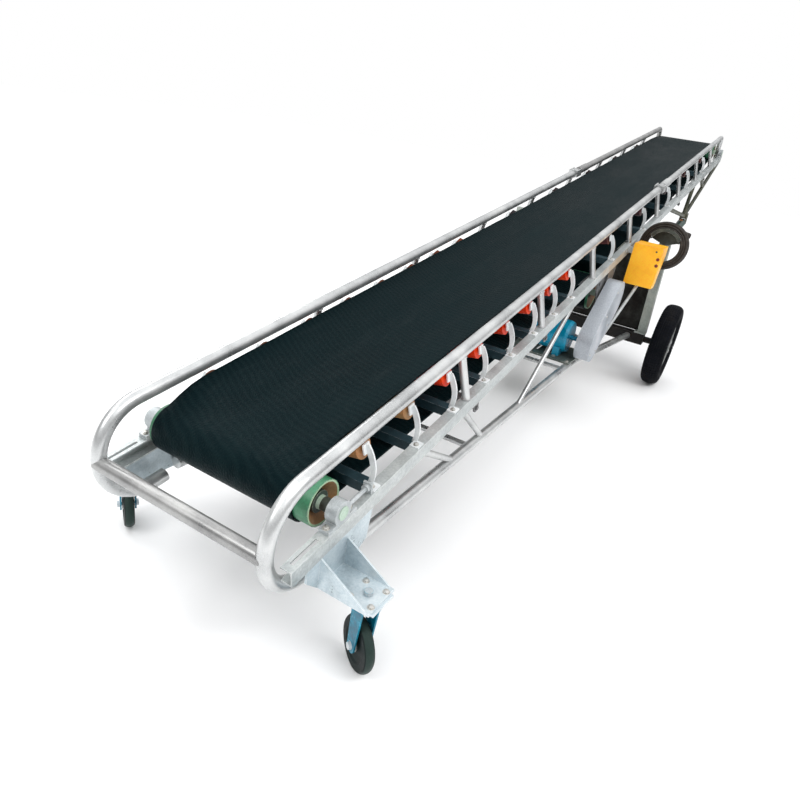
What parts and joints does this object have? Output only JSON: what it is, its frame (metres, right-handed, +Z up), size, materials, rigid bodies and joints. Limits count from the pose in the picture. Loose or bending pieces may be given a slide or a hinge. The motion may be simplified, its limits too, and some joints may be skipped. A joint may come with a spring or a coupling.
{
  "type": "mobile belt conveyor",
  "caption": "Mobile belt conveyor: an inclined troughed belt on a channel and tube frame, with road wheels under the middle, swivel castors at the tail and a luffing head.",
  "frame": {"origin": "on the ground under the middle of the length and width", "axes": "+X towards the high discharge end, +Y to the left, +Z up"},
  "size_m": [7.3637, 1.612, 1.8609],
  "materials": {
    "galvanised": "satin",
    "channel_paint": "satin",
    "blue_grey_paint": "satin",
    "dark_olive_paint": "satin",
    "light_grey_paint": "satin",
    "belt_rubber": "matt",
    "roller_orange": "satin",
    "drum_green": "satin",
    "bearing_iron": "matt",
    "motor_blue": "gloss",
    "guard_silver": "satin",
    "box_orange": "satin",
    "cable_rubber": "matt",
    "castor_blue": "gloss",
    "castor_tread": "matt",
    "tyre_rubber": "matt",
    "rim_paint": "satin",
    "cylinder_green": "gloss",
    "rod_chrome": "polished",
    "plain_steel": "worn"
  },
  "bodies": {
    "frame": {"top_rail_rear_left": "galvanised", "side_channel_rear_left": "channel_paint", "lower_chord_left": "channel_paint", "castor_bracket_left": "blue_grey_paint", "top_rail_rear_right": "galvanised", "side_channel_rear_right": "channel_paint", "lower_chord_right": "channel_paint", "castor_bracket_right": "blue_grey_paint", "tail_cross_tube": "galvanised", "rail_posts_rear": "galvanised", "cross_members_rear": "blue_grey_paint", "idler_rollers_rear": "roller_orange", "idler_brackets_rear": "light_grey_paint", "tail_drum": "drum_green", "tail_bearings": "bearing_iron", "belt_rear": "belt_rubber", "return_rollers_rear": "plain_steel", "return_hangers_rear": "light_grey_paint", "drive_drum": "plain_steel", "belt_guard": "guard_silver", "motor_base": "light_grey_paint", "drive_motor": "motor_blue", "lower_braces": "galvanised", "axle_beam": "dark_olive_paint", "carriage_frame": "light_grey_paint", "control_box": "box_orange", "box_arms": "light_grey_paint", "motor_conduit": "galvanised", "cable_coil": "cable_rubber", "cable_saddle": "dark_olive_paint", "cable_gland": "cable_rubber", "cable_lead": "cable_rubber", "cable_plug": "cable_rubber"},
    "boom": {"top_rail_head_left": "galvanised", "side_channel_head_left": "channel_paint", "top_rail_head_right": "galvanised", "side_channel_head_right": "channel_paint", "rail_posts_head": "galvanised", "cross_members_head": "blue_grey_paint", "idler_rollers_head": "roller_orange", "idler_brackets_head": "light_grey_paint", "belt_head": "belt_rubber", "return_rollers_head": "plain_steel", "return_hangers_head": "light_grey_paint", "head_drum": "drum_green", "head_bearings": "bearing_iron", "under_truss": "dark_olive_paint"},
    "cylinder_barrel_left": {"cylinder_barrel_left": "cylinder_green"},
    "cylinder_rod_left": {"cylinder_rod_left": "rod_chrome"},
    "wheel_left": {"tyre_left": "tyre_rubber", "rim_left": "rim_paint"},
    "castor_fork_left": {"castor_fork_left": "castor_blue"},
    "castor_wheel_left": {"castor_wheel_left": "castor_tread"},
    "cylinder_barrel_right": {"cylinder_barrel_right": "cylinder_green"},
    "cylinder_rod_right": {"cylinder_rod_right": "rod_chrome"},
    "wheel_right": {"tyre_right": "tyre_rubber", "rim_right": "rim_paint"},
    "castor_fork_right": {"castor_fork_right": "castor_blue"},
    "castor_wheel_right": {"castor_wheel_right": "castor_tread"}
  },
  "joints": [
    {"name": "boom_luff", "type": "hinge", "parent": "frame", "child": "boom", "pos_m": [0.62957, 0, 1.33818], "axis": [0, -1, 0], "range_deg": [0, 12]},
    {"name": "cylinder_tilt_left", "type": "hinge", "parent": "boom", "child": "cylinder_barrel_left", "pos_m": [2.15544, 0.382, 1.01438], "axis": [0, -1, 0], "range_deg": [-3, 0]},
    {"name": "cylinder_stroke_left", "type": "slide", "parent": "cylinder_barrel_left", "child": "cylinder_rod_left", "axis": [-0.9763, 0, -0.2164], "range_m": [0, 0.133]},
    {"name": "wheel_spin_left", "type": "hinge", "parent": "frame", "child": "wheel_left", "pos_m": [0.18627, 0.7475, 0.3], "axis": [0, 1, 0], "continuous": true},
    {"name": "castor_swivel_left", "type": "hinge", "parent": "frame", "child": "castor_fork_left", "pos_m": [-3.41973, 0.525, 0.28], "axis": [0, 0, 1], "continuous": true},
    {"name": "castor_spin_left", "type": "hinge", "parent": "castor_fork_left", "child": "castor_wheel_left", "pos_m": [-3.41538, 0.53171, 0.09], "axis": [-0.8387, 0.5446, 0], "continuous": true},
    {"name": "cylinder_tilt_right", "type": "hinge", "parent": "boom", "child": "cylinder_barrel_right", "pos_m": [2.15544, -0.382, 1.01438], "axis": [0, -1, 0], "range_deg": [-3, 0]},
    {"name": "cylinder_stroke_right", "type": "slide", "parent": "cylinder_barrel_right", "child": "cylinder_rod_right", "axis": [-0.9763, 0, -0.2164], "range_m": [0, 0.133]},
    {"name": "wheel_spin_right", "type": "hinge", "parent": "frame", "child": "wheel_right", "pos_m": [0.18627, -0.7475, 0.3], "axis": [0, 1, 0], "continuous": true},
    {"name": "castor_swivel_right", "type": "hinge", "parent": "frame", "child": "castor_fork_right", "pos_m": [-3.41973, -0.525, 0.28], "axis": [0, 0, 1], "continuous": true},
    {"name": "castor_spin_right", "type": "hinge", "parent": "castor_fork_right", "child": "castor_wheel_right", "pos_m": [-3.41538, -0.51829, 0.09], "axis": [-0.8387, 0.5446, 0], "continuous": true}
  ],
  "couplings": [
    {"joint": "cylinder_tilt_left", "follows": "boom_luff", "ratio": -0.23965},
    {"joint": "cylinder_stroke_left", "follows": "boom_luff", "m_per_rad": 0.61133},
    {"joint": "cylinder_tilt_right", "follows": "boom_luff", "ratio": -0.23965},
    {"joint": "cylinder_stroke_right", "follows": "boom_luff", "m_per_rad": 0.61133}
  ]
}
